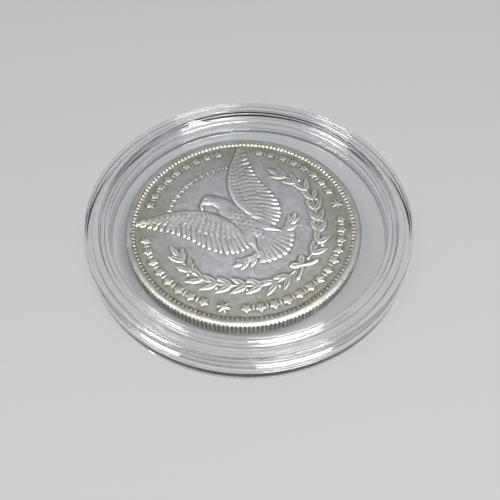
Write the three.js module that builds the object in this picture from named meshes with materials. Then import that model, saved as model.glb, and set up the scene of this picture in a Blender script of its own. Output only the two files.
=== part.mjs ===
// Coin capsule: two clear round shells that snap together over one loose silver coin.
// Millimetres, +Z up. The origin is the centre of the underside, at the level the capsule stands on.
// All three pieces are turned shapes: each is a half section in (radius, height) swept round an axis.

import * as THREE from 'three';

// ---- Driving dimensions

const SEGMENTS = 72;            // flats round each turned piece
const ARC_STEPS = 3;            // straight steps in each rounded corner

const HEIGHT = 5.8;             // closed capsule, underside to top rim
const BASE_RADIUS = 26.5;       // outside of the base's flange
const LID_RADIUS = 26.2;        // outside of the lid's skirt, a little inside the flange
const WELL_RADIUS = 23;         // the hollow takes coins up to 46 mm across

const WINDOW_THICKNESS = 1.05;  // the clear floor, and the clear top
const RECESS_DEPTH = 0.55;      // each window is set in below its rim, so that it can't scratch
const WINDOW_RADIUS = 22.5;     // flat part of each window's outer face
const RIM_INNER_RADIUS = 23.45; // where the slope up from the window meets the flat rim
const RIM_CORNER = 0.35;        // rounding of the outer top and bottom edges
const SEAM_CORNER = 0.18;       // rounding of the two edges that face each other at the seam

const SEAM_HEIGHT = 2.95;       // top of the base's flange
const SEAM_GAP = 0.15;          // open line between the flange and the lid's skirt
const LEDGE_HEIGHT = 2.75;      // step round the well that the lid's tongue stands over
const LEDGE_GAP = 0.1;

const RING_INNER_RADIUS = 24;   // the base's upstanding ring, which the lid snaps over
const RING_OUTER_RADIUS = 25;
const RING_TOP = 4.6;
const RING_CHAMFER = 0.2;
const SNAP_CLEARANCE = 0.08;    // between the ring and the lid's groove, on every side

const WELL_FILLET = 0.3;        // inside corners between wall and window

const COIN_RADIUS = 19.05;      // 38.1 mm across
const COIN_THICKNESS = 2.4;
const COIN_RIM_WIDTH = 1.05;    // flat raised border of each face
const COIN_FIELD_DEPTH = 0.2;   // the fields lie this far below the border
const COIN_EDGE_CHAMFER = 0.15;
const COIN_FLOAT = 0.02;        // the coin's stand-off from the floor that it lies on
const COIN_OFFSET = new THREE.Vector2(-0.84, -1.5); // it lies loose, off the capsule's axis

// ---- Heights that follow from the driving dimensions

const FLOOR_UNDER = RECESS_DEPTH;
const FLOOR_TOP = RECESS_DEPTH + WINDOW_THICKNESS;
const CEILING = HEIGHT - RECESS_DEPTH - WINDOW_THICKNESS;
const WINDOW_TOP = HEIGHT - RECESS_DEPTH;
const SKIRT_BOTTOM = SEAM_HEIGHT + SEAM_GAP;
const TONGUE_BOTTOM = LEDGE_HEIGHT + LEDGE_GAP;
const GROOVE_TOP = RING_TOP + SNAP_CLEARANCE;

// ---- Section helpers

// A quarter round of the given radius about (r, z), from one angle to another in degrees,
// measured from outwards (0) to upwards (90).
function corner(r, z, radius, fromDegrees, toDegrees) {
  const points = [];
  for (let step = 0; step <= ARC_STEPS; step += 1) {
    const degrees = fromDegrees + (toDegrees - fromDegrees) * (step / ARC_STEPS);
    const angle = THREE.MathUtils.degToRad(degrees);
    points.push([r + radius * Math.cos(angle), z + radius * Math.sin(angle)]);
  }
  return points;
}

// Sweeps a half section round the Z axis. The section runs from the axis, outwards along the
// underside, up the outside and back to the axis, so that its faces point out of the solid.
function turned(section) {
  const points = section.map(([r, z]) => new THREE.Vector2(r, z));
  const geometry = new THREE.LatheGeometry(points, SEGMENTS);
  return geometry.rotateX(Math.PI / 2);
}

// ---- Pieces

// The base: a window floor, a flange that makes the lower half of the outside wall, and a ring
// that stands up between the lid's tongue and its skirt.
function baseSection() {
  return [
    [0, FLOOR_UNDER],
    [WINDOW_RADIUS, FLOOR_UNDER],
    [RIM_INNER_RADIUS, 0],
    ...corner(BASE_RADIUS - RIM_CORNER, RIM_CORNER, RIM_CORNER, -90, 0),
    ...corner(BASE_RADIUS - SEAM_CORNER, SEAM_HEIGHT - SEAM_CORNER, SEAM_CORNER, 0, 90),
    [RING_OUTER_RADIUS, SEAM_HEIGHT],
    [RING_OUTER_RADIUS, RING_TOP - RING_CHAMFER],
    [RING_OUTER_RADIUS - RING_CHAMFER, RING_TOP],
    [RING_INNER_RADIUS + RING_CHAMFER, RING_TOP],
    [RING_INNER_RADIUS, RING_TOP - RING_CHAMFER],
    [RING_INNER_RADIUS, LEDGE_HEIGHT],
    [WELL_RADIUS, LEDGE_HEIGHT],
    ...corner(WELL_RADIUS - WELL_FILLET, FLOOR_TOP + WELL_FILLET, WELL_FILLET, 0, -90),
    [0, FLOOR_TOP],
  ];
}

// The lid: a window top in a raised rim, a skirt that makes the upper half of the outside wall,
// and a tongue inside the base's ring. The ring snaps up into the groove between the two.
function lidSection() {
  const tongueInner = WELL_RADIUS;
  const tongueOuter = RING_INNER_RADIUS - SNAP_CLEARANCE;
  const skirtInner = RING_OUTER_RADIUS + SNAP_CLEARANCE;
  return [
    [0, CEILING],
    ...corner(tongueInner - WELL_FILLET, CEILING - WELL_FILLET, WELL_FILLET, 90, 0),
    [tongueInner, TONGUE_BOTTOM],
    [tongueOuter - RING_CHAMFER, TONGUE_BOTTOM],
    [tongueOuter, TONGUE_BOTTOM + RING_CHAMFER],
    [tongueOuter, GROOVE_TOP - RING_CHAMFER],
    [tongueOuter + RING_CHAMFER, GROOVE_TOP],
    [skirtInner - RING_CHAMFER, GROOVE_TOP],
    [skirtInner, GROOVE_TOP - RING_CHAMFER],
    [skirtInner, SKIRT_BOTTOM + RING_CHAMFER],
    [skirtInner + RING_CHAMFER, SKIRT_BOTTOM],
    ...corner(LID_RADIUS - SEAM_CORNER, SKIRT_BOTTOM + SEAM_CORNER, SEAM_CORNER, -90, 0),
    ...corner(LID_RADIUS - RIM_CORNER, HEIGHT - RIM_CORNER, RIM_CORNER, 0, 90),
    [RIM_INNER_RADIUS, HEIGHT],
    [WINDOW_RADIUS, WINDOW_TOP],
    [0, WINDOW_TOP],
  ];
}

// The coin: a disc whose two faces are sunk below a flat raised border.
function coinSection() {
  const borderInner = COIN_RADIUS - COIN_RIM_WIDTH;
  const fieldRadius = borderInner - COIN_FIELD_DEPTH;
  const edgeInner = COIN_RADIUS - COIN_EDGE_CHAMFER;
  return [
    [0, COIN_FIELD_DEPTH],
    [fieldRadius, COIN_FIELD_DEPTH],
    [borderInner, 0],
    [edgeInner, 0],
    [COIN_RADIUS, COIN_EDGE_CHAMFER],
    [COIN_RADIUS, COIN_THICKNESS - COIN_EDGE_CHAMFER],
    [edgeInner, COIN_THICKNESS],
    [borderInner, COIN_THICKNESS],
    [fieldRadius, COIN_THICKNESS - COIN_FIELD_DEPTH],
    [0, COIN_THICKNESS - COIN_FIELD_DEPTH],
  ];
}

// ---- Materials

function clearPlastic() {
  return new THREE.MeshStandardMaterial({
    color: 0xe9eef0,
    roughness: 0.06,
    metalness: 0,
    transparent: true,
    opacity: 0.35,
  });
}

function antiqueSilver() {
  return new THREE.MeshStandardMaterial({ color: 0xa8a7a0, roughness: 0.38, metalness: 1 });
}

// ---- Assembly

function piece(name, section, material) {
  const mesh = new THREE.Mesh(turned(section), material);
  mesh.name = name;
  return mesh;
}

const capsule = new THREE.Group();

const base = piece('base', baseSection(), clearPlastic());
capsule.add(base);

const coin = piece('coin', coinSection(), antiqueSilver());
coin.position.set(COIN_OFFSET.x, COIN_OFFSET.y, FLOOR_TOP + COIN_FLOAT);
capsule.add(coin);

const lid = piece('lid', lidSection(), clearPlastic());
capsule.add(lid);

export default capsule;
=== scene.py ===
import math

import bpy
import numpy as np
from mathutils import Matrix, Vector


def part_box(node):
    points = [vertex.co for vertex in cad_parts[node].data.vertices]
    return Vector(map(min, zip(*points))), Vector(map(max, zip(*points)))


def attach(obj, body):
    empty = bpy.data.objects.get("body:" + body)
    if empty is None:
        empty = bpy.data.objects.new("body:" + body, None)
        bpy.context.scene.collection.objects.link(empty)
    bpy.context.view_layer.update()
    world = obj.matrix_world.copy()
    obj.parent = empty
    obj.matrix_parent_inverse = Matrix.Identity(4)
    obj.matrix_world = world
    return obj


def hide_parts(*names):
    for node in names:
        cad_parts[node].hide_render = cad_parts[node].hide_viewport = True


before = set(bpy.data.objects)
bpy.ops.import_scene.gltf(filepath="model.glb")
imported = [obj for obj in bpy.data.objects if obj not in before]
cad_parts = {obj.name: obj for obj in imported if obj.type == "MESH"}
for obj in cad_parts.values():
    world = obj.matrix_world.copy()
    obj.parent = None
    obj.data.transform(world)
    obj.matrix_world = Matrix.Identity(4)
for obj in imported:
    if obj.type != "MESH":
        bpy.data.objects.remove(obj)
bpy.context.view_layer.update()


# ---------------------------------------------------------------------------------------------
# The base: the lower shell, moulded in one piece of clear polystyrene. A window floor is set up
# inside a flat foot, the flange makes the lower half of the outside wall, and a ring with a low
# snap bead round it stands up for the lid to click over.
# ---------------------------------------------------------------------------------------------

MM = 0.001                      # the sizes here are in millimetres, and Blender's in metres
scene = bpy.context.scene
base_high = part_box("base")[1]

SPOKES = 360                    # points round each shell
BASE_RADIUS = base_high.x / MM
RING_TOP = base_high.z / MM
WINDOW_THICKNESS = 1.05         # the clear floor, and the clear top
RECESS_DEPTH = 0.55             # how far each window is set in from its rim
WINDOW_RADIUS = 22.5
RIM_INNER_RADIUS = 23.45        # where the slope from the window meets the flat rim
WELL_RADIUS = 23.0
FLOOR_TOP = RECESS_DEPTH + WINDOW_THICKNESS
SEAM_HEIGHT = 2.95              # top of the flange
LEDGE_HEIGHT = 2.75             # step between the well and the ring
RING_INNER = 24.0
RING_OUTER = 25.0
BEAD_MIDDLE = 3.85              # height of the snap bead's middle
BEAD_HALF = 0.15
BEAD_PROUD = 0.05
POLYSTYRENE_IOR = 1.57


def rounded(corners, arc_steps=6, support=0.05):
    """A section line with its corners rounded. Each corner is (radius, height, rounding). The
    rounding is an arc that touches both neighbouring lines, and one more point stands just
    outside each end of it, so that the smooth shading of the arc stays off the flats."""
    points = np.array([c[:2] for c in corners], float)
    line = [points[0]]
    for before, here, after, (_, _, r) in zip(points, points[1:], points[2:], corners[1:]):
        if r == 0:
            line.append(here)
            continue
        back = (before - here) / np.linalg.norm(before - here)
        ahead = (after - here) / np.linalg.norm(after - here)
        half = math.acos(np.clip(back @ ahead, -1, 1)) / 2
        reach = r / math.tan(half)
        centre = here + (back + ahead) / np.linalg.norm(back + ahead) * r / math.sin(half)
        start, end = here + back * reach - centre, here + ahead * reach - centre
        turn = math.atan2(start[0] * end[1] - start[1] * end[0], start @ end)
        angles = np.linspace(0, turn, arc_steps + 1)[:, None]
        side = np.array([-start[1], start[0]])
        guard = reach + min(support, r * 0.3)
        line.append(here + back * guard)
        line.extend(centre + start * np.cos(angles) + side * np.sin(angles))
        line.append(here + ahead * guard)
    line.append(points[-1])
    return np.array(line)


def new_piece(name, vertices, faces, material):
    """A smooth-shaded mesh object at the origin, with its vertices given in millimetres."""
    mesh = bpy.data.meshes.new(name)
    mesh.from_pydata(vertices * MM, [], faces)
    mesh.polygons.foreach_set("use_smooth", np.ones(len(mesh.polygons), bool))
    mesh.update()
    mesh.validate()
    mesh.materials.append(material)
    piece = bpy.data.objects.new(name, mesh)
    scene.collection.objects.link(piece)
    return piece


def grid_faces(rows, columns, first=0):
    """Quads between the points of a grid whose rows close on themselves, row by row upwards."""
    row, column = np.meshgrid(np.arange(rows - 1), np.arange(columns), indexing="ij")
    a = first + row * columns + column
    b = first + row * columns + (column + 1) % columns
    return np.stack([a, b, b + columns, a + columns], -1).reshape(-1, 4)


def turned(name, section, material):
    """A section swept round the Z axis: point (r, z) of the section at angle t goes to
    (r cos t, r sin t, z). The section starts and ends on the axis, and those two points are
    single poles, joined to the next ring by a fan of triangles."""
    angle = np.arange(SPOKES) * math.tau / SPOKES
    r, z = section[1:-1, 0:1], section[1:-1, 1:2]
    rings = np.stack([r * np.cos(angle), r * np.sin(angle), z + 0 * angle], -1).reshape(-1, 3)
    poles = np.array([[0, 0, section[0, 1]], [0, 0, section[-1, 1]]])
    around = np.arange(SPOKES)
    after = (around + 1) % SPOKES
    last = len(rings) - SPOKES
    low_pole, high_pole = np.full(SPOKES, len(rings)), np.full(SPOKES, len(rings) + 1)
    fans = [
        np.stack([low_pole, after, around], -1),
        np.stack([high_pole, last + around, last + after], -1),
    ]
    quads = grid_faces(len(section) - 2, SPOKES)
    faces = quads.tolist() + fans[0].tolist() + fans[1].tolist()
    return new_piece(name, np.vstack([rings, poles]), faces, material)


class Nodes:
    """A material's node tree, built by short calls that give back the socket to use next."""

    def __init__(self, name):
        self.material = bpy.data.materials.new(name)
        self.material.use_nodes = True
        self.tree = self.material.node_tree
        self.shader = self.tree.nodes["Principled BSDF"]

    def add(self, kind, **settings):
        """A node. A setting named for a property sets it, and any other sets that input."""
        node = self.tree.nodes.new("ShaderNode" + kind)
        for key, value in settings.items():
            if hasattr(node, key):
                setattr(node, key, value)
            else:
                node.inputs[key.replace("_", " ")].default_value = value
        return node

    def feed(self, value, socket):
        """Joins an output to an input, or sets the input to a number or a colour."""
        if isinstance(value, bpy.types.NodeSocket):
            self.tree.links.new(value, socket)
        else:
            socket.default_value = value

    def place(self, turn=0.0, stretch=1.0):
        """Where each point is on the piece. A pattern read there is stretched along Y and then
        turned about Z."""
        node = self.add("Mapping", vector_type="TEXTURE", Rotation=(0, 0, turn),
                        Scale=(1.0, stretch, 1.0))
        self.feed(self.add("TexCoord").outputs["Object"], node.inputs["Vector"])
        return node.outputs["Vector"]

    def noise(self, place, **settings):
        """Soft random values over the piece, about 0.5 on the whole."""
        node = self.add("TexNoise", **settings)
        self.feed(place, node.inputs["Vector"])
        return node.outputs["Fac"]

    def span(self, source, first, last, low, high):
        """A value stretched so that first becomes low and last becomes high, and held there."""
        node = self.add("MapRange", From_Min=first, From_Max=last, To_Min=low, To_Max=high)
        self.feed(source, node.inputs["Value"])
        return node.outputs["Result"]

    def reckon(self, operation, *values):
        """Plain arithmetic on two or three values."""
        node = self.add("Math", operation=operation)
        for value, socket in zip(values, node.inputs):
            self.feed(value, socket)
        return node.outputs["Value"]

    def ramp(self, source, stops):
        """A colour for each value, from stops of (place, colour)."""
        node = self.add("ValToRGB")
        self.feed(source, node.inputs["Fac"])
        elements = node.color_ramp.elements
        while len(elements) < len(stops):
            elements.new(0.5)
        for element, (place, colour) in zip(elements, stops):
            element.position = place
            element.color = (*colour, 1)
        return node.outputs["Color"]

    def hairs(self, runs, stretch, first, last):
        """Fine straight lines: noise drawn out into streaks, of which only the peaks from first
        to last are kept, once for each (turn, scale)."""
        total = 0.0
        for turn, scale in runs:
            streaks = self.noise(self.place(turn, stretch), Scale=scale, Detail=0.0)
            total = self.reckon("ADD", total, self.span(streaks, first, last, 0.0, 1.0))
        return total

    def bump(self, height, strength, distance):
        """Raises or sinks the lit surface by a height."""
        node = self.add("Bump", Strength=strength, Distance=distance)
        self.feed(height, node.inputs["Height"])
        self.feed(node.outputs["Normal"], self.shader.inputs["Normal"])


def clear_plastic(name, seed):
    """Clear gloss polystyrene, smudged a little by handling, with hair scratches on its windows
    that fade out just inside each window's edge. Light from the lamps and diffuse light pass
    straight through, so that what is inside is lit."""
    m = Nodes(name)
    shader = m.shader
    shader.inputs["Base Color"].default_value = (0.985, 0.992, 0.995, 1)
    shader.inputs["Transmission Weight"].default_value = 1.0
    shader.inputs["IOR"].default_value = POLYSTYRENE_IOR
    smudges = m.noise(m.place(), Scale=140.0 + seed, Detail=4.0, Roughness=0.6)
    m.feed(m.span(smudges, 0.5, 0.8, 0.0, 0.035), shader.inputs["Roughness"])
    runs = ((0.5 + seed, 700.0), (1.7 + seed, 950.0), (2.6 + seed, 820.0))
    scratches = m.hairs(runs, 20.0, 0.76, 0.80)
    flat = m.add("VectorMath", operation="MULTIPLY")
    m.feed(m.place(), flat.inputs[0])
    m.feed((1.0, 1.0, 0.0), flat.inputs[1])
    from_axis = m.add("VectorMath", operation="LENGTH")
    m.feed(flat.outputs["Vector"], from_axis.inputs[0])
    edge = WINDOW_RADIUS * MM
    on_window = m.span(from_axis.outputs["Value"], edge - 0.0001, edge - 0.0005, 0.0, 1.0)
    m.bump(m.reckon("MULTIPLY", scratches, on_window), 0.15, 0.00002)
    ray = m.add("LightPath")
    open_air = m.add("BsdfTransparent", Color=(0.95, 0.955, 0.96, 1))
    result = shader.outputs["BSDF"]
    for kind in ("Is Diffuse Ray", "Is Shadow Ray"):
        choice = m.add("MixShader")
        m.feed(ray.outputs[kind], choice.inputs["Fac"])
        m.feed(result, choice.inputs[1])
        m.feed(open_air.outputs["BSDF"], choice.inputs[2])
        result = choice.outputs["Shader"]
    m.feed(result, m.tree.nodes["Material Output"].inputs["Surface"])
    return m.material


base_section = rounded([
    (0, RECESS_DEPTH, 0),
    (WINDOW_RADIUS, RECESS_DEPTH, 0.15),
    (RIM_INNER_RADIUS, 0, 0.15),
    (BASE_RADIUS, 0, 0.35),
    (BASE_RADIUS, SEAM_HEIGHT, 0.18),
    (RING_OUTER, SEAM_HEIGHT, 0.08),
    (RING_OUTER, BEAD_MIDDLE - BEAD_HALF, 0),
    (RING_OUTER + BEAD_PROUD, BEAD_MIDDLE, 0.1),
    (RING_OUTER, BEAD_MIDDLE + BEAD_HALF, 0),
    (RING_OUTER, RING_TOP, 0.2),
    (RING_INNER, RING_TOP, 0.2),
    (RING_INNER, LEDGE_HEIGHT, 0.08),
    (WELL_RADIUS, LEDGE_HEIGHT, 0.12),
    (WELL_RADIUS, FLOOR_TOP, 0.3),
    (0, FLOOR_TOP, 0),
])
base_shell = turned("base_shell", base_section, clear_plastic("base_clear_polystyrene", 0.0))
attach(base_shell, "base")
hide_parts("base")


# ---------------------------------------------------------------------------------------------
# The coin: a struck disc of antique silver, 38 mm across, lying loose in the well. Both faces are
# sunk inside a plain border with a ring of small teeth, the edge is reeded, and one face carries
# a bird with raised wings over a laurel wreath. The hollows have kept their dark tarnish.
# ---------------------------------------------------------------------------------------------

coin_low, coin_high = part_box("coin")

COIN_RADIUS = (coin_high.x - coin_low.x) / 2 / MM
COIN_THICKNESS = (coin_high.z - coin_low.z) / MM
COIN_CENTRE = (coin_low + coin_high) / 2 / MM
COIN_UP = math.radians(137)     # which way the bird's head points
GRID = 240                      # cells across the face with the bird
STAR_GRID = GRID // 2           # cells across the other face
RIM_SPOKES = GRID * 4           # points round the border and the edge
TEETH = RIM_SPOKES // 6         # six points to each tooth of the border
REEDS = RIM_SPOKES // 5         # five points to each reed of the edge
REED_DEPTH = 0.16
FIELD_DEPTH = 0.26              # the fields below the border's crest
FACE_RADIUS = 17.25             # where each face's grid ends and its border begins
TOOTH_MIDDLE = 17.62
TOOTH_REACH = 0.36
TOOTH_HEIGHT = 0.17
BORDER_CREST = 18.2
CUT_RADIUS = 18.85              # past this the reeds cut into the border
CUT_SHARE = 0.8                 # and by this share of their depth
SHOULDER_DEPTHS = (0.30, 0.38)  # the reeded edge's two rings on each side, below the crest
BORDER_WEAR = 0.02              # the rise that makes the border a little brighter
RISE_GAIN = 5.5                 # how strongly a rise in millimetres shows in the colour
BIRD_RINGS = (17.33, 17.42, 17.5, 17.6, 17.7, 17.8, 17.9, 18.05, 18.2, 18.5, 18.75, 18.88, 18.99)
STAR_RINGS = (17.42, 17.6, 17.8, 18.05, 18.2, 18.7, 18.92)


def disc_points(n, radius):
    """An n by n grid of cells bent into a disc, with all cells of one area. With a the larger
    and b the smaller of a point's two places in the square, r is a, and the angle is an
    eighth of a turn times b / a, counted from the side of the square that the point faces."""
    line = np.linspace(-1, 1, n + 1)
    u, v = np.meshgrid(line, line, indexing="ij")
    wide = np.abs(u) >= np.abs(v)
    big = np.where(wide, u, v)
    small = np.where(wide, v, u)
    turn = math.pi / 4 * np.divide(small, big, out=np.zeros_like(u), where=big != 0)
    angle = np.where(wide, turn, math.pi / 2 - turn)
    return radius * big * np.cos(angle), radius * big * np.sin(angle)


def disc_edge(n):
    """The numbers of the grid's outermost points, anticlockwise from the corner at -45 degrees:
    point (i, j) of the grid is number i (n + 1) + j."""
    i = np.arange(n)
    full = np.full(n, n)
    zero = np.zeros(n, int)
    u = np.concatenate([full, n - i, zero, i])
    v = np.concatenate([i, full, n - i, zero])
    return u * (n + 1) + v


def stroke(x, y, line, widths, height):
    """Relief of a tapering stroke, a round-backed ridge over a line: at each point the height
    times sqrt(1 - (distance from the line / half width there)^2)."""
    line = np.array(line, float)
    widths = np.array(widths, float)
    best = np.zeros_like(x)
    for p, q, wp, wq in zip(line, line[1:], widths, widths[1:]):
        d = q - p
        t = np.clip(((x - p[0]) * d[0] + (y - p[1]) * d[1]) / (d @ d), 0, 1)
        away = np.hypot(x - p[0] - t * d[0], y - p[1] - t * d[1])
        half = wp + (wq - wp) * t
        dome = np.sqrt(np.clip(1 - (away / half) ** 2, 0, 1))
        best = np.maximum(best, dome)
    return best * height


def curve(points, steps=10):
    """Points along the Bezier curve of three or four control points."""
    t = np.linspace(0, 1, steps)[:, None]
    p = np.array(points, float)
    if len(p) == 3:
        return (1 - t) ** 2 * p[0] + 2 * t * (1 - t) * p[1] + t ** 2 * p[2]
    one = 1 - t
    return one ** 3 * p[0] + 3 * one ** 2 * t * p[1] + 3 * one * t ** 2 * p[2] + t ** 3 * p[3]


def leaf(x, y, root, direction, length, width, height):
    """Relief of a pointed leaf with a sunk midrib. Its half width along its length is half a
    sine wave that leans towards the root. Across, it is nearly flat on top and steep at the
    sides: (1 - (distance from the midrib / half width)^2) to the power 0.35."""
    cos, sin = math.cos(direction), math.sin(direction)
    along = ((x - root[0]) * cos + (y - root[1]) * sin) / length
    across = (y - root[1]) * cos - (x - root[0]) * sin
    inside = np.clip(along, 0, 1)
    half = width / 2 * np.sin(math.pi * inside ** 0.8) + 1e-6
    dome = np.clip(1 - (across / half) ** 2, 0, 1) ** 0.35 * (along > 0) * (along < 1)
    rib = 1 - 0.5 * np.exp(-(across / (width * 0.15)) ** 2)
    return dome * rib * height


def bead(x, y, centre, radius, height):
    """Relief of a half ball: the height times sqrt(1 - (distance / radius)^2)."""
    away = np.hypot(x - centre[0], y - centre[1]) / radius
    return np.sqrt(np.clip(1 - away ** 2, 0, 1)) * height


def star(x, y, centre, radius, height, points=6):
    """Relief of a star with a ridge down each point. Its outline is straight from each tip to
    the notch beside it: at an angle t from the tip it is 9 / (9 cos t + 25 sin t) of the
    radius away. The height is (1 - distance / outline) to the power 0.6."""
    dx, dy = x - centre[0], y - centre[1]
    r = np.hypot(dx, dy) / radius
    sector = math.pi / points
    turn = np.abs((np.arctan2(dy, dx) + sector) % (2 * sector) - sector)
    outline = 9 / (9 * np.cos(turn) + 25 * np.sin(turn))
    return np.clip(1 - r / outline, 0, 1) ** 0.6 * height


def polar(radius, degrees):
    """The point at a distance and an angle from the coin's middle."""
    angle = math.radians(degrees)
    return np.array([radius * math.cos(angle), radius * math.sin(angle)])


def feathers(x, y, roots, tips, count, half, low, high, shift=0.0):
    """Relief of a row of feathers. Feather k runs from the roots' curve to the tips' curve, both
    cut into equal steps, and bows a little. Each stands up by 'low' all over and is domed to
    'high' along its middle; 'shift' moves the whole row along by that share of a step."""
    relief = np.zeros_like(x)
    for k in range(count):
        place = min(1.0, (k + shift) / (count - 1)) * (len(roots) - 1)
        root, tip = roots[int(place)], tips[int(place)]
        away = tip - root
        middle = (root + tip) / 2 + 0.06 * np.array([away[1], -away[0]])
        line = curve([root, middle, tip], 6)
        width = half * np.array([0.75, 0.85, 0.95, 1.05, 1.1, 0.7])
        dome = stroke(x, y, line, width, 1.0)
        relief = np.maximum(relief, np.where(dome > 0.25, low + (high - low) * dome, 0))
    return relief


def wing(x, y, side):
    """Relief of one raised wing, side -1 to the left and 1 to the right. The long feathers hang
    from a curved bone to a rounded hind edge, and four rows of shorter ones lie over their
    roots like shingles."""
    x = x * side
    bone = curve([(1.9, 1.2), (2.2, 6.4), (5.6, 9.3), (10.9, 11.6)], 120)
    hind_low = curve([(2.4, -3.7), (5.6, -4.6), (7.6, -0.6), (7.9, 2.6)], 60)
    hind_high = curve([(7.9, 2.6), (8.4, 6.0), (10.2, 8.6), (12.5, 12.4)], 61)
    hind = np.vstack([hind_low, hind_high[1:]])
    relief = feathers(x, y, bone, hind, 22, 0.44, 0.0, 0.15)
    for row, share in enumerate((0.58, 0.43, 0.29, 0.16)):
        tips = bone + share * (hind - bone)
        lift = 0.11 + 0.035 * row
        shingles = feathers(x, y, bone, tips, 18, 0.45 - 0.02 * row, lift, lift + 0.09,
                            0.5 * (row % 2 == 0))
        relief = np.maximum(relief, shingles)
    return np.maximum(relief, stroke(x, y, bone, np.linspace(0.55, 0.32, 120), 0.25))


def scales(x, y, width, rise):
    """Small overlapping feathers in staggered rows. Each is a disc that hides the row below it;
    the value is the distance from the disc's middle, 1 at its rim, so that the tips stand up."""
    row = np.floor(y / rise)
    reach = 0.62 * width
    gaps = []
    for candidate in (row + 1, row):
        beside = x / width + 0.5 * (candidate % 2)
        gaps.append(np.hypot((beside - np.round(beside)) * width, y - candidate * rise))
    return np.clip(np.where(gaps[0] < reach, gaps[0], gaps[1]) / reach, 0, 1)


def bird(x, y):
    """Relief of the whole bird: wings, tail, legs, body with small scale-like feathers, head."""
    relief = np.maximum(wing(x, y, -1), wing(x, y, 1))
    for k in range(9):
        turn = math.radians(-90 + (k - 4) * 9.0)
        root = np.array([(k - 4) * 0.14, -3.6])
        tip = root + (5.2 - 0.13 * abs(k - 4)) * np.array([math.cos(turn), math.sin(turn)])
        relief = np.maximum(relief, stroke(x, y, [root, tip], [0.22, 0.5], 0.16))
    for side in (-1, 1):
        leg = curve([(side * 0.9, -2.0), (side * 1.9, -3.6), (side * 2.7, -5.6)], 6)
        relief = np.maximum(relief, stroke(x, y, leg, [1.0, 0.95, 0.7, 0.5, 0.36, 0.3], 0.2))
        for spread in (-0.5, 0, 0.5):
            claw = [(side * 2.7, -5.5), (side * 2.7 + spread, -6.5)]
            relief = np.maximum(relief, stroke(x, y, claw, [0.2, 0.14], 0.2))
    body = stroke(x, y, [(0, 3.6), (0, 1.2), (0, -2.2), (0, -4.2)], [1.5, 2.15, 1.8, 0.8], 0.25)
    body = body * (0.72 + 0.28 * scales(x, y, 0.95, 0.8) ** 2)
    relief = np.maximum(relief, body)
    neck = curve([(0, 2.8), (0.8, 5.4), (-0.5, 7.1)], 8)
    nape = stroke(x, y, neck, np.linspace(1.5, 0.85, 8), 0.25)
    relief = np.maximum(relief, nape * (0.8 + 0.2 * scales(x, y, 0.7, 0.6) ** 2))
    relief = np.maximum(relief, bead(x, y, (-0.7, 7.4), 1.05, 0.26))
    beak = curve([(-1.4, 7.6), (-2.6, 7.6), (-2.8, 6.6)], 6)
    relief = np.maximum(relief, stroke(x, y, beak, np.linspace(0.42, 0.1, 6), 0.24))
    return relief - bead(x, y, (-1.1, 7.6), 0.22, 0.12)


def sprig(x, y, line, leaves, length, width, height, berries=True):
    """Relief of a stem with leaves in pairs along it, each pair leaning forward, and a berry
    between every second pair."""
    line = np.array(line)
    relief = stroke(x, y, line, np.full(len(line), 0.13), height * 0.8)
    for k in range(leaves):
        place = (k + 0.5) / leaves * (len(line) - 1.001)
        i = int(place)
        here = line[i] + (line[i + 1] - line[i]) * (place - i)
        ahead = line[i + 1] - line[i]
        heading = math.atan2(ahead[1], ahead[0])
        for lean in (-0.5, 0.5):
            part = leaf(x, y, here, heading + lean, length, width, height)
            relief = np.maximum(relief, part)
        if berries and k % 2:
            for side in (-1, 1):
                spot = here + 0.75 * width * side * np.array([-math.sin(heading), math.cos(heading)])
                relief = np.maximum(relief, bead(x, y, spot, 0.22, height))
    tip = line[-1] - line[-2]
    heading = math.atan2(tip[1], tip[0])
    return np.maximum(relief, leaf(x, y, line[-1], heading, length, width, height))


def wreath(x, y):
    """Relief of two laurel branches that rise from a bow below the bird, and of a small twig
    on each side under its claws."""
    relief = np.zeros_like(x)
    for side in (-1, 1):
        line = np.array([polar(12.3 + 0.25 * math.sin(k), -90 + side * (7 + k * 8.6))
                         for k in range(12)])
        relief = np.maximum(relief, sprig(x, y, line, 9, 2.9, 0.95, 0.165))
        loop = curve([(0, -12.2), (side * 0.7, -10.3), (side * 2.5, -11.2), (0, -12.3)], 10)
        relief = np.maximum(relief, stroke(x, y, loop, np.full(10, 0.24), 0.19))
        tail = curve([(0, -12.3), (side * 1.0, -13.2), (side * 2.2, -13.4)], 6)
        relief = np.maximum(relief, stroke(x, y, tail, np.linspace(0.2, 0.32, 6), 0.17))
        twig = curve([(0, -6.3), (side * 3.0, -6.9), (side * 5.6, -5.6)], 8)
        relief = np.maximum(relief, sprig(x, y, twig, 4, 2.1, 0.75, 0.18, berries=False))
    return np.maximum(relief, bead(x, y, (0, -12.2), 0.5, 0.2))


def rosette(x, y, centre, heading, size, height):
    """Relief of a flower of five petals round a bead."""
    relief = bead(x, y, centre, 0.3 * size, height)
    for k in range(5):
        turn = heading + k * math.tau / 5
        petal = leaf(x, y, centre, turn, size, 0.75 * size, height * 0.85)
        relief = np.maximum(relief, petal)
    return relief


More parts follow.
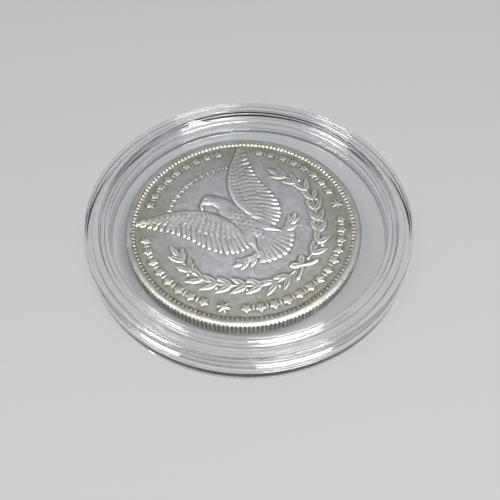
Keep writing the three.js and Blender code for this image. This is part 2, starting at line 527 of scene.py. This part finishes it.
def border_marks(x, y):
    """Relief of the running ornament inside the teeth: small flowers with a bud between each
    two, in four runs, parted by the wing tips and by two stars; and a row of beads and buds
    between the wings."""
    relief = np.zeros_like(x)
    for first, last, count in ((60, 120, 9), (147, 202, 8), (225, 315, 13), (338, 393, 8)):
        step = (last - first) / (count - 1)
        for k in range(count):
            degrees = first + k * step
            heading = math.radians(degrees)
            flower = rosette(x, y, polar(15.85, degrees), heading, 0.8, 0.19)
            relief = np.maximum(relief, flower)
            if k < count - 1:
                heading += math.radians(step / 2)
                foot = polar(15.3, degrees + step / 2)
                relief = np.maximum(relief, leaf(x, y, foot, heading, 1.1, 0.34, 0.12))
    for degrees in (213, 327):
        relief = np.maximum(relief, star(x, y, polar(15.9, degrees), 1.25, 0.2))
    for k in range(-12, 13):
        degrees = 90 + 2.7 * k
        if k % 2:
            relief = np.maximum(relief, bead(x, y, polar(12.4, degrees), 0.17, 0.12))
        else:
            foot = polar(11.9, degrees)
            relief = np.maximum(relief, leaf(x, y, foot, math.radians(degrees), 1.0, 0.42, 0.15))
    return relief


def bird_face(x, y):
    """The whole relief of the face with the bird, in the coin's own upright frame."""
    c, s = math.cos(COIN_UP - math.pi / 2), math.sin(COIN_UP - math.pi / 2)
    u, v = x * c + y * s, -x * s + y * c
    relief = np.maximum(border_marks(u, v), wreath(u, v))
    return np.maximum(relief, bird(u, v))


def star_face(x, y):
    """The other face: a large many-pointed star in a ring of beads."""
    relief = star(x, y, (0, 0), 11.0, 0.24, points=16)
    for degrees in np.arange(0, 360, 10):
        relief = np.maximum(relief, bead(x, y, polar(14.2, degrees), 0.7, 0.2))
    return relief


def reed_groove(angle):
    """How far the edge is cut in at each angle: a cosine wave from 0 to the reeds' depth."""
    return REED_DEPTH * (0.5 - 0.5 * np.cos(angle * REEDS))


def border_rings(angle, radii):
    """The rings from the edge of a face's grid out over the teeth and the border, as (radius,
    depth below the border's crest) arrays. The ground climbs from the field to the crest as
    3t^2 - 2t^3, with t the share of the way. A tooth is a bump on it: half a wave round the
    border times a squared cosine across it. Past the crest the border falls with the square
    of the way to its edge and rounds off, where the reeds cut into it."""
    wave = 0.5 + 0.5 * np.cos(angle * TEETH)
    rows = []
    for radius in radii:
        t = min(1.0, (radius - FACE_RADIUS) / (BORDER_CREST - FACE_RADIUS))
        off = min(1.0, abs(radius - TOOTH_MIDDLE) / TOOTH_REACH)
        tooth = TOOTH_HEIGHT * wave * math.cos(math.pi / 2 * off) ** 2
        past = max(0.0, (radius - BORDER_CREST) / (COIN_RADIUS - BORDER_CREST))
        fall = 0.24 * past ** 2 + 0.08 * past ** 8
        depth = FIELD_DEPTH * (1 - 3 * t ** 2 + 2 * t ** 3) + fall - tooth
        cut = CUT_SHARE * (radius > CUT_RADIUS)
        rows.append((radius - cut * reed_groove(angle), depth))
    return rows


def local_rise(height):
    """How far each point of a grid stands above the mean of its surroundings: positive on
    edges and ridges, negative in the corners at their feet."""
    mean = height
    for _ in range(7):          # each pass spreads the mean by one cell
        mean = (mean + np.roll(mean, 1, 0) + np.roll(mean, -1, 0)
                + np.roll(mean, 1, 1) + np.roll(mean, -1, 1)) / 5
    return height - mean


def tooth_rise(depth):
    """How far a ring's points stand above the ring's mean, held down to 0.01, so that the feet
    of the teeth are dark and their tops aren't bright."""
    return np.minimum((depth.mean() - depth) * 0.6, 0.01)


def face_quads(n, first):
    """The quads of one face's grid, seen from above, with its points numbered from first on."""
    i, j = np.meshgrid(np.arange(n), np.arange(n), indexing="ij")
    a = first + i * (n + 1) + j
    return np.stack([a, a + n + 1, a + n + 2, a + 1], -1).reshape(-1, 4)


def coin_points():
    """The coin's points from the bird's face down to the other face, and how far each rises
    above its surroundings: the face's grid, its border's rings, the reeded edge's rings, and
    the same for the other face in turn."""
    top, bottom = COIN_THICKNESS / 2, -COIN_THICKNESS / 2
    angle = np.arange(RIM_SPOKES) * math.tau / RIM_SPOKES - math.pi / 4
    cos, sin = np.cos(angle), np.sin(angle)
    groove = reed_groove(angle)

    x, y = disc_points(GRID, FACE_RADIUS)
    relief = bird_face(x, y)
    points = [np.stack([x, y, top - FIELD_DEPTH + relief], -1).reshape(-1, 3)]
    rises = [local_rise(relief).ravel()]
    for radius, depth in border_rings(angle, BIRD_RINGS):
        points.append(np.stack([radius * cos, radius * sin, top - depth], -1))
        worn = BORDER_WEAR if radius.max() >= BORDER_CREST else 0.0
        rises.append(tooth_rise(depth) + worn)
    upper, lower = SHOULDER_DEPTHS
    for z in (top - upper, top - lower, bottom + lower, bottom + upper):
        radius = COIN_RADIUS - groove
        points.append(np.stack([radius * cos, radius * sin, np.full(RIM_SPOKES, z)], -1))
        rises.append(BORDER_WEAR - 0.9 * groove)
    for radius, depth in border_rings(angle, STAR_RINGS)[::-1]:
        points.append(np.stack([radius * cos, radius * sin, bottom + depth], -1))
        rises.append(tooth_rise(depth) + BORDER_WEAR / 2)
    x, y = disc_points(STAR_GRID, FACE_RADIUS)
    relief = star_face(x, y)
    points.append(np.stack([x, y, bottom + FIELD_DEPTH - relief], -1).reshape(-1, 3))
    rises.append(local_rise(relief).ravel())
    return np.vstack(points) + np.array(COIN_CENTRE), np.concatenate(rises)


def coin_faces():
    """The faces between those points, as one closed surface. The other face's grid has half
    the cells, so its outermost points meet every second point of the last ring."""
    grid_count = (GRID + 1) ** 2
    ring_count = len(BIRD_RINGS) + 2 * len(SHOULDER_DEPTHS) + len(STAR_RINGS)
    last = grid_count + (ring_count - 1) * RIM_SPOKES
    star_first = last + RIM_SPOKES
    edge = disc_edge(GRID)
    ring = grid_count + np.arange(RIM_SPOKES)
    faces = face_quads(GRID, 0).tolist()
    faces += np.stack([edge, ring, np.roll(ring, -1), np.roll(edge, -1)], -1).tolist()
    faces += grid_faces(ring_count, RIM_SPOKES, grid_count)[:, ::-1].tolist()
    near = star_first + disc_edge(STAR_GRID)
    next_near = np.roll(near, -1)
    k = 2 * np.arange(len(near))
    low, middle, high = last + k, last + k + 1, last + (k + 2) % RIM_SPOKES
    faces += np.stack([low, near, middle], -1).tolist()
    faces += np.stack([middle, near, next_near], -1).tolist()
    faces += np.stack([middle, next_near, high], -1).tolist()
    return faces + face_quads(STAR_GRID, star_first)[:, ::-1].tolist()


def antique_silver(name):
    """Antique silver: grey tarnish on the fields, darker and warmer in the corners, worn bright
    on the ridges, with warm toning towards the border, mottling, fine grain and hairlines. The
    attribute 'rise' is 0.5 on a plain field, more on ridges and less in the corners at their
    feet; 'reach' is the distance from the middle, 1 at the edge."""
    m = Nodes(name)
    shader = m.shader
    shader.inputs["Metallic"].default_value = 1.0
    rise = m.add("Attribute", attribute_name="rise").outputs["Fac"]
    reach = m.add("Attribute", attribute_name="reach").outputs["Fac"]
    patches = m.noise(m.place(), Scale=170.0, Detail=5.0, Roughness=0.6)
    band = m.span(m.reckon("MULTIPLY_ADD", patches, 0.6, reach), 0.6, 1.4, 0.0, 1.0)
    toned = m.ramp(band, [
        (0.2, (0.46, 0.46, 0.47)), (0.5, (0.375, 0.37, 0.35)), (0.72, (0.30, 0.285, 0.22)),
        (0.86, (0.33, 0.325, 0.30))])
    tarnish = m.ramp(rise, [
        (0.0, (0.34, 0.29, 0.21)), (0.38, (0.64, 0.60, 0.52)), (0.5, (1, 1, 1))])
    mottling = m.noise(m.place(), Scale=800.0, Detail=4.0, Roughness=0.7)
    mottled = m.ramp(mottling, [(0.3, (0.78, 0.78, 0.78)), (0.7, (1.2, 1.2, 1.2))])
    worn = m.ramp(rise, [(0.52, (0, 0, 0)), (0.85, (1, 1, 1))])
    colour = toned
    for kind, share, other in (("MULTIPLY", 1.0, tarnish), ("MULTIPLY", 1.0, mottled),
                               ("MIX", worn, (0.62, 0.61, 0.58, 1))):
        layer = m.add("Mix", data_type="RGBA", blend_type=kind)
        m.feed(share, layer.inputs["Factor"])
        m.feed(colour, layer.inputs["A"])
        m.feed(other, layer.inputs["B"])
        colour = layer.outputs["Result"]
    m.feed(colour, shader.inputs["Base Color"])
    grain = m.noise(m.place(), Scale=2200.0, Detail=4.0, Roughness=0.65)
    m.feed(m.span(grain, 0.3, 0.7, 0.34, 0.54), shader.inputs["Roughness"])
    hairlines = m.hairs(((0.3, 620.0), (2.2, 760.0)), 16.0, 0.70, 0.76)
    scratched = m.reckon("SUBTRACT", grain, m.reckon("MULTIPLY", hairlines, 0.9))
    m.bump(scratched, 0.5, 0.00004)
    return m.material


points, rises = coin_points()
silver_coin = new_piece("silver_coin", points, coin_faces(), antique_silver("antique_silver"))
reaches = np.hypot(points[:, 0] - COIN_CENTRE.x, points[:, 1] - COIN_CENTRE.y) / COIN_RADIUS
for label, values in (("rise", np.clip(0.5 + RISE_GAIN * rises, 0, 1)), ("reach", reaches)):
    attribute = silver_coin.data.attributes.new(label, "FLOAT", "POINT")
    attribute.data.foreach_set("value", values.astype(np.float32))
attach(silver_coin, "coin")
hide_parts("coin")


# ---------------------------------------------------------------------------------------------
# The lid: the upper shell, of the same clear polystyrene. Its window is set in below a flat rim,
# the skirt makes the upper half of the outside wall, and a tongue inside it forms the groove
# that the base's ring snaps up into.
# ---------------------------------------------------------------------------------------------

lid_low, lid_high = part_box("lid")

LID_RADIUS = lid_high.x / MM
LID_TOP = lid_high.z / MM
TONGUE_BOTTOM = lid_low.z / MM
WINDOW_TOP = LID_TOP - RECESS_DEPTH
CEILING = WINDOW_TOP - WINDOW_THICKNESS
SKIRT_BOTTOM = SEAM_HEIGHT + 0.15   # the open line of the seam
CLEARANCE = 0.08                    # between the base's ring and the groove
GROOVE_TOP = RING_TOP + CLEARANCE

lid_section = rounded([
    (0, CEILING, 0),
    (WELL_RADIUS, CEILING, 0.3),
    (WELL_RADIUS, TONGUE_BOTTOM, 0.1),
    (RING_INNER - CLEARANCE, TONGUE_BOTTOM, 0.15),
    (RING_INNER - CLEARANCE, GROOVE_TOP, 0.15),
    (RING_OUTER + CLEARANCE, GROOVE_TOP, 0.15),
    (RING_OUTER + CLEARANCE, SKIRT_BOTTOM, 0.15),
    (LID_RADIUS, SKIRT_BOTTOM, 0.18),
    (LID_RADIUS, LID_TOP, 0.35),
    (RIM_INNER_RADIUS, LID_TOP, 0.15),
    (WINDOW_RADIUS, WINDOW_TOP, 0.15),
    (0, WINDOW_TOP, 0),
])
lid_shell = turned("lid_shell", lid_section, clear_plastic("lid_clear_polystyrene", 0.7))
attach(lid_shell, "lid")
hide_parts("lid")


# ---------------------------------------------------------------------------------------------
# The studio: a plain pale matt floor at the level the capsule stands on, two soft boxes and the
# light of a plain room, and the camera, held close above the capsule.
# ---------------------------------------------------------------------------------------------

FLOOR_HALF = 1500
FLOOR_DROP = 0.02               # keeps the floor off the foot's own face


def pale_floor():
    """A plain pale matt square."""
    m = Nodes("pale_floor")
    m.shader.inputs["Base Color"].default_value = (0.43, 0.425, 0.415, 1)
    m.shader.inputs["Roughness"].default_value = 0.7
    s = FLOOR_HALF
    corners = np.array([(-s, -s, 0), (s, -s, 0), (s, s, 0), (-s, s, 0)], float)
    floor = new_piece("floor", corners, [(0, 1, 2, 3)], m.material)
    floor.location.z = -FLOOR_DROP * MM


def soft_light(name, place, size, power):
    """A square soft box that faces the capsule."""
    light = bpy.data.lights.new(name, "AREA")
    light.shape = "RECTANGLE"
    light.size = size
    light.size_y = size
    light.energy = power
    lamp = bpy.data.objects.new(name, light)
    lamp.location = place
    lamp.rotation_euler = Vector(place).to_track_quat("Z", "Y").to_euler()
    scene.collection.objects.link(lamp)


def soft_room(name):
    """The light of a plain room: a pale ceiling over dark walls, as a ramp on the height."""
    world = bpy.data.worlds.new(name)
    world.use_nodes = True
    tree = world.node_tree
    direction = tree.nodes.new("ShaderNodeTexCoord")
    split = tree.nodes.new("ShaderNodeSeparateXYZ")
    ramp = tree.nodes.new("ShaderNodeValToRGB")
    tree.links.new(direction.outputs["Generated"], split.inputs["Vector"])
    tree.links.new(split.outputs["Z"], ramp.inputs["Fac"])
    tree.links.new(ramp.outputs["Color"], tree.nodes["Background"].inputs["Color"])
    wall, ceiling = ramp.color_ramp.elements
    wall.position = 0.05
    wall.color = (0.14, 0.14, 0.15, 1)
    ceiling.position = 0.75
    ceiling.color = (0.42, 0.43, 0.46, 1)
    scene.world = world


def studio_camera():
    """A camera held close above the capsule, that looks down at it at about 55 degrees."""
    data = bpy.data.cameras.new("camera")
    data.sensor_width = 36
    data.lens = 37.66
    data.clip_start = 0.005
    camera = bpy.data.objects.new("camera", data)
    camera.location = (0.000228, -0.05403, 0.07070)
    camera.rotation_euler = (math.radians(35.23), 0, 0)
    scene.collection.objects.link(camera)
    scene.camera = camera


pale_floor()
soft_light("key", (0.14, -0.17, 0.46), 0.24, 2.3)
soft_light("fill", (-0.28, -0.08, 0.42), 0.16, 0.8)
soft_room("studio")
scene.view_settings.view_transform = "Standard"
studio_camera()
